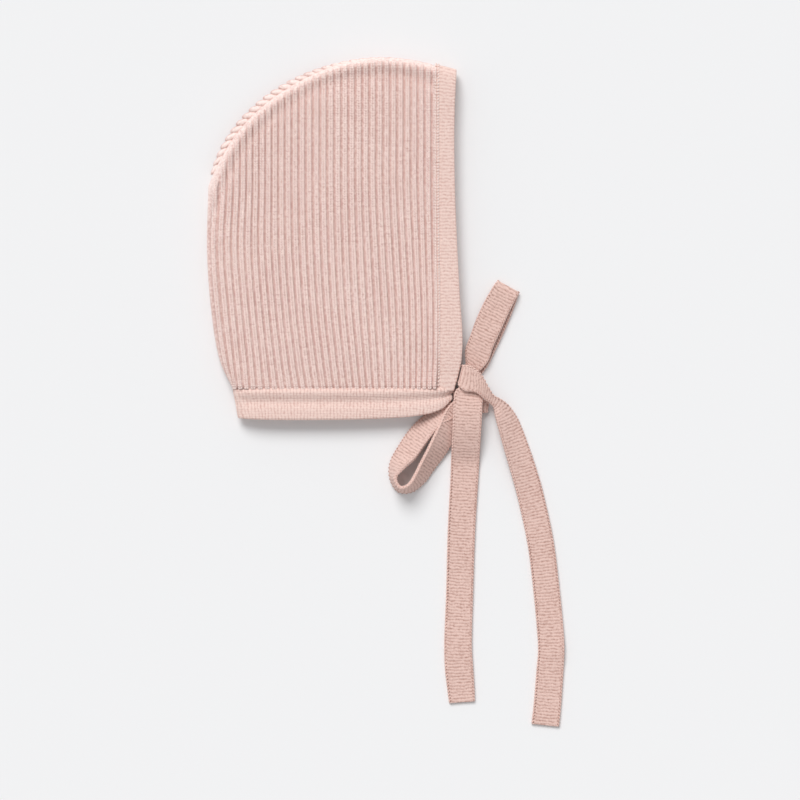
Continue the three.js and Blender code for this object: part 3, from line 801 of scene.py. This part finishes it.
# ---- ties ---------------------------------------------------------------------------------
# Two tapes knitted on from the neck band's ends and tied in a bow. Their courses
# run across, and a chain of edge stitches borders each side.
tie_thick = 1.5
tie_pitch = 1.57
tie_step = 0.34
tie_border = 0.10
tie_groove = 0.20
edge_inset = 0.55
edge_start, edge_end = 0.8, 0.6
edge_lowest = 1.05
edge_size = 0.92
near_tie_rows = [
    # x, y, z, width, turn of the width in plan, tilt
    (33.4, -1.2, 3.3, 3.8, 100, 0),
    (36.6, -0.1, 2.4, 4.8, 115, 0),
    (40.0, 2.8, 1.5, 6.0, 130, 0),
    (43.0, 8.0, 0.9, 6.5, 148, 0),
    (45.6, 15.0, 0.85, 11.0, 154, 0),
    (48.9, 23.6, 0.85, 13.0, 155, 0),
    (52.9, 33.2, 0.85, 13.8, 155, 0),
    (56.7, 42.2, 0.85, 13.8, 154, 0),
    (59.9, 50.0, 0.95, 13.2, 152, 0),
    (60.9, 52.2, 2.0, 12.8, 151, 0),
    (59.5, 50.2, 3.05, 13.0, 152, 0),
    (55.4, 42.6, 3.1, 13.6, 154, 0),
    (51.2, 33.6, 3.5, 13.6, 155, 0),
    (47.5, 24.6, 3.7, 12.8, 155, 0),
    (45.2, 18.2, 3.4, 13.0, 153, 0),
    (43.4, 13.6, 3.1, 9.4, 142, 0),
    (40.4, 10.8, 2.9, 6.4, 100, 0),
    (38.5, 10.0, 4.2, 7.0, 80, 0),
    (37.6, 8.9, 6.4, 9.4, 77, 0),
    (38.0, 8.0, 8.7, 11.4, 77, 0),
    (40.4, 6.8, 9.5, 12.9, 80, 0),
    (43.8, 6.1, 9.5, 12.4, 92, 0),
    (47.4, 3.3, 9.2, 11.0, 90, 0),
    (50.3, -0.9, 8.2, 7.0, 80, 0),
    (52.8, -3.7, 6.8, 5.0, 72, 0),
    (55.5, -5.9, 5.7, 6.2, 55, -10),
    (58.2, -9.8, 5.0, 10.0, 34, -28),
    (60.8, -15.4, 4.3, 12.6, 24, -32),
    (64.8, -27.0, 3.4, 13.2, 18, -24),
    (68.6, -39.0, 2.3, 13.2, 16, -14),
    (72.0, -51.0, 1.4, 13.2, 15, -6),
    (77.2, -75.0, 0.85, 13.2, 9, 0),
    (80.2, -99.0, 0.85, 13.2, 6, 0),
    (82.1, -119.0, 1.1, 13.3, 3, 2),
    (82.6, -129.0, 1.5, 13.3, 0, 6),
    (81.9, -140.0, 0.95, 13.6, -2, 0),
    (80.6, -157.0, 0.85, 13.8, -5, 0),
    (79.6, -166.5, 0.85, 14.0, -6, 0),
]
far_tie_rows = [
    (33.4, -4.6, 1.0, 4.6, 90, 0),
    (38.0, -5.6, 0.9, 5.6, 88, 0),
    (44.0, -7.0, 0.9, 6.6, 86, 0),
    (49.0, -7.2, 0.95, 6.6, 84, 0),
    (50.6, -7.2, 2.1, 6.4, 82, 0),
    (48.8, -7.4, 3.2, 6.4, 80, 0),
    (43.0, -8.0, 2.8, 6.6, 84, 0),
    (36.6, -8.6, 3.1, 7.2, 104, -4),
    (30.4, -10.2, 4.4, 9.2, 124, -16),
    (24.0, -13.6, 4.4, 11.6, 138, -38),
    (16.3, -21.8, 5.0, 13.2, 145, -36),
    (10.4, -30.2, 5.7, 13.6, 148, -41),
    (5.6, -36.7, 6.4, 13.4, 160, -58),
    (3.6, -42.8, 7.1, 12.6, 186, -79),
    (6.7, -48.3, 7.1, 12.6, 236, -80),
    (12.0, -47.7, 7.0, 12.8, 282, -71),
    (17.1, -42.4, 6.7, 13.2, 314, -61),
    (20.0, -37.6, 6.5, 13.6, 323, -58),
    (25.0, -29.6, 6.3, 13.6, 326, -49),
    (30.4, -19.8, 5.5, 12.2, 326, -32),
    (33.8, -11.6, 4.9, 10.0, 326, -16),
    (38.2, -4.6, 4.85, 7.4, 332, -4),
    (41.2, 1.8, 4.8, 6.4, 342, 0),
    (42.7, 6.4, 4.8, 6.4, 350, 0),
    (43.1, 8.3, 5.8, 6.6, 352, 0),
    (42.8, 6.6, 6.8, 7.4, 352, 0),
    (42.3, 3.0, 7.0, 9.6, 352, -2),
    (41.4, -0.6, 7.2, 14.0, 353, -3),
    (40.9, -5.6, 7.9, 14.5, 356, 0),
    (40.6, -12.0, 8.1, 14.5, 358, 0),
    (40.3, -19.0, 7.2, 14.4, 358, 0),
    (39.9, -27.0, 4.6, 14.3, 358, 0),
    (39.6, -35.0, 1.5, 14.2, 357, 0),
    (39.1, -45.0, 0.85, 14.0, 357, 0),
    (37.7, -70.0, 0.85, 13.8, 357, 0),
    (36.8, -101.0, 0.85, 13.6, 357, 0),
    (36.0, -126.0, 1.2, 13.9, 358, 0),
    (36.5, -138.0, 1.0, 14.2, 362, 0),
    (37.5, -149.0, 0.85, 13.6, 364, 0),
    (38.0, -155.0, 0.85, 13.0, 364, 0),
]
# Painted light: the tie yarn's painted highlight colour and its painted shade colour, mixed by the
# painted_light mask.
tie_lit_colour = (0.86, 0.61, 0.54)
tie_shaded_colour = (0.50, 0.285, 0.235)
tie_yarn = cotton("tie_knit_yarn", tie_lit_colour, tie_shaded_colour, 0.00022, course=420.0)
tie_edge_yarn = cotton("tie_edge_yarn", tie_lit_colour, tie_shaded_colour, 0.00016)


def tie(name, rows, node):
    """One tie: its tape, the chain along each side, and what stands for it."""
    run = run_of([row[:3] for row in rows])
    at = stations(run, tie_step)
    x, y, z, width, turn, tilt = route(rows, run, at)
    turn, tilt = np.radians(turn), np.radians(tilt)
    middle = np.stack([x, y, z], axis=-1)
    side = np.stack([np.cos(turn) * np.cos(tilt), np.sin(turn) * np.cos(tilt), np.sin(tilt)], axis=-1)
    made = knitted_tape(name, at, middle, side, width, tie_thick, tie_pitch, tie_groove,
                        border=tie_border)
    made.data.materials.append(tie_yarn)
    forward = heading(middle)
    spots = np.arange(edge_start, run[-1] - edge_end, tie_pitch)
    lines = []
    for edge in (-1, 1):
        place = middle + side * (edge * (width / 2 - edge_inset))[:, None]
        lines.append((place, side * edge, forward))
    chain = chain_stitches(name + "_edge", at, spots, lines, edge_lowest, edge_size, tie_edge_yarn)
    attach(chain, "root")
    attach(made, "root")
    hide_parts(node)


tie("near_tie_knit", near_tie_rows, "near_tie")
tie("far_tie_knit", far_tie_rows, "far_tie")
